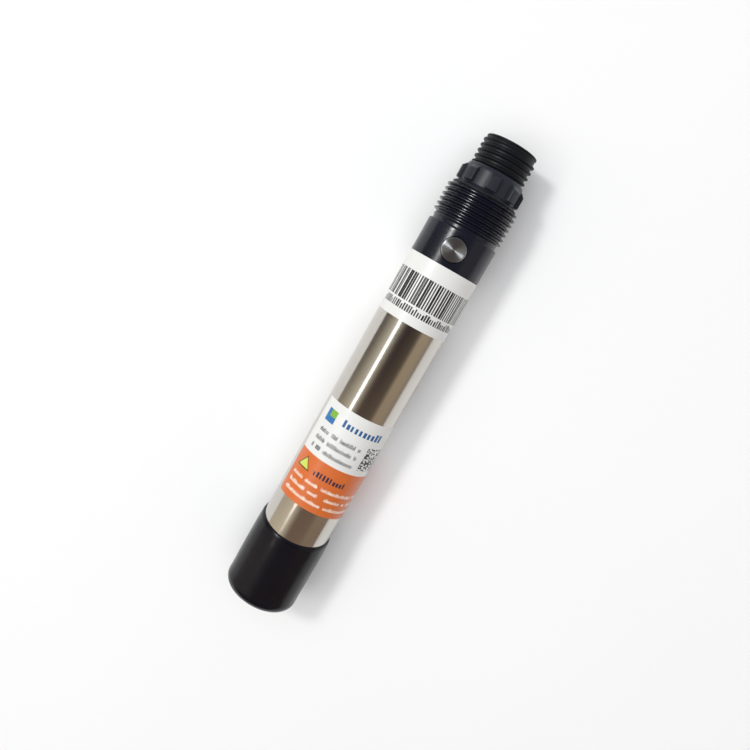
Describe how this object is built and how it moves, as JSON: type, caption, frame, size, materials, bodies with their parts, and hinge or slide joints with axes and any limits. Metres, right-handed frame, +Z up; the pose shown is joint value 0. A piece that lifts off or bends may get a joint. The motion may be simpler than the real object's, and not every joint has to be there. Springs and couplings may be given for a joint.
{
  "type": "water quality probe",
  "caption": "Slim cylindrical optical dissolved-oxygen probe: steel tube, black threaded housing with temperature disc, cable connector, wrap labels and pull-off protective cap.",
  "frame": {"origin": "on the bench under the middle of the probe: bottom centre of the bounding box, with the probe lying on its protective cap", "axes": "+X along the probe from the protective cap to the cable connector, +Z up through the temperature disc and the fronts of the labels, +Y across"},
  "size_m": [0.1854, 0.0278, 0.0279],
  "materials": {
    "brushed_steel": "brushed along the tube, satin",
    "turned_steel": "lathe-turned face, bright",
    "black_plastic": "turned black acetal, semi-gloss",
    "connector_plastic": "moulded black nylon, semi-gloss",
    "collar_plastic": "moulded black nylon, fine matt texture",
    "cap_vinyl": "dip-moulded soft vinyl, glossy",
    "seal_rubber": "satin",
    "white_label": "satin coated",
    "printed_label": "satin coated, printed",
    "foil": "matt black silicone",
    "clear_glass": "polished",
    "filter_glass": "polished, red",
    "anodised": "black anodised",
    "circuit_board": "green solder mask",
    "chip_plastic": "matt moulded",
    "capacitor_can": "bright",
    "socket_plastic": "natural nylon",
    "blue_lens": "clear tinted",
    "red_lens": "clear tinted",
    "dark_lens": "dark tinted",
    "screw_steel": "plated",
    "gold_contact": "gold plated",
    "insert_plastic": "moulded",
    "resin": "cast epoxy",
    "sponge": "open-cell foam",
    "wire_sheath": "thin vinyl sheath",
    "lead_wire": "tinned",
    "carrier_plastic": "printed nylon",
    "bead_glass": "sealed bead"
  },
  "bodies": {
    "probe": {"sensor_head": "black_plastic", "head_window": "clear_glass", "window_seal": "seal_rubber", "head_o_rings": "seal_rubber", "optics_block": "anodised", "excitation_led": "blue_lens", "reference_led": "red_lens", "photodiode": "dark_lens", "optical_filter": "filter_glass", "optics_board": "circuit_board", "optics_screws": "screw_steel", "optics_wires": "wire_sheath", "optics_socket": "socket_plastic", "steel_tube": "brushed_steel", "product_label": "printed_label", "barcode_label": "white_label", "upper_housing": "black_plastic", "housing_o_rings": "seal_rubber", "temperature_disc": "turned_steel", "disc_o_ring": "seal_rubber", "thermistor": "bead_glass", "thermistor_leads": "lead_wire", "connector_body": "connector_plastic", "connector_o_ring": "seal_rubber", "connector_gasket": "seal_rubber", "lock_ring": "collar_plastic", "contact_insert": "insert_plastic", "contact_pins": "gold_contact", "potting_plug": "resin", "main_board": "circuit_board", "board_carrier": "carrier_plastic", "board_screws": "screw_steel", "processor": "chip_plastic", "board_chips": "chip_plastic", "board_capacitors": "capacitor_can", "harness_socket": "socket_plastic", "harness_wires": "wire_sheath"},
    "gasket": {"membrane_gasket": "seal_rubber"},
    "membrane": {"membrane_cap": "black_plastic", "sensing_foil": "foil", "foil_ring": "seal_rubber"},
    "cap": {"protective_cap": "cap_vinyl", "storage_sponge": "sponge"}
  },
  "joints": [
    {"name": "cap_pull", "type": "slide", "parent": "probe", "child": "cap", "axis": [-1, 0, 0], "range_m": [0, 0.036]},
    {"name": "gasket_travel", "type": "slide", "parent": "probe", "child": "gasket", "axis": [-1, 0, 0], "range_m": [0, 0.006]},
    {"name": "membrane_turn", "type": "hinge", "parent": "gasket", "child": "membrane", "pos_m": [-0.0767, 0, 0.01395], "axis": [-1, 0, 0], "range_deg": [0, 1440]}
  ],
  "couplings": [
    {"joint": "gasket_travel", "follows": "membrane_turn", "m_per_rad": 0.00023873}
  ]
}
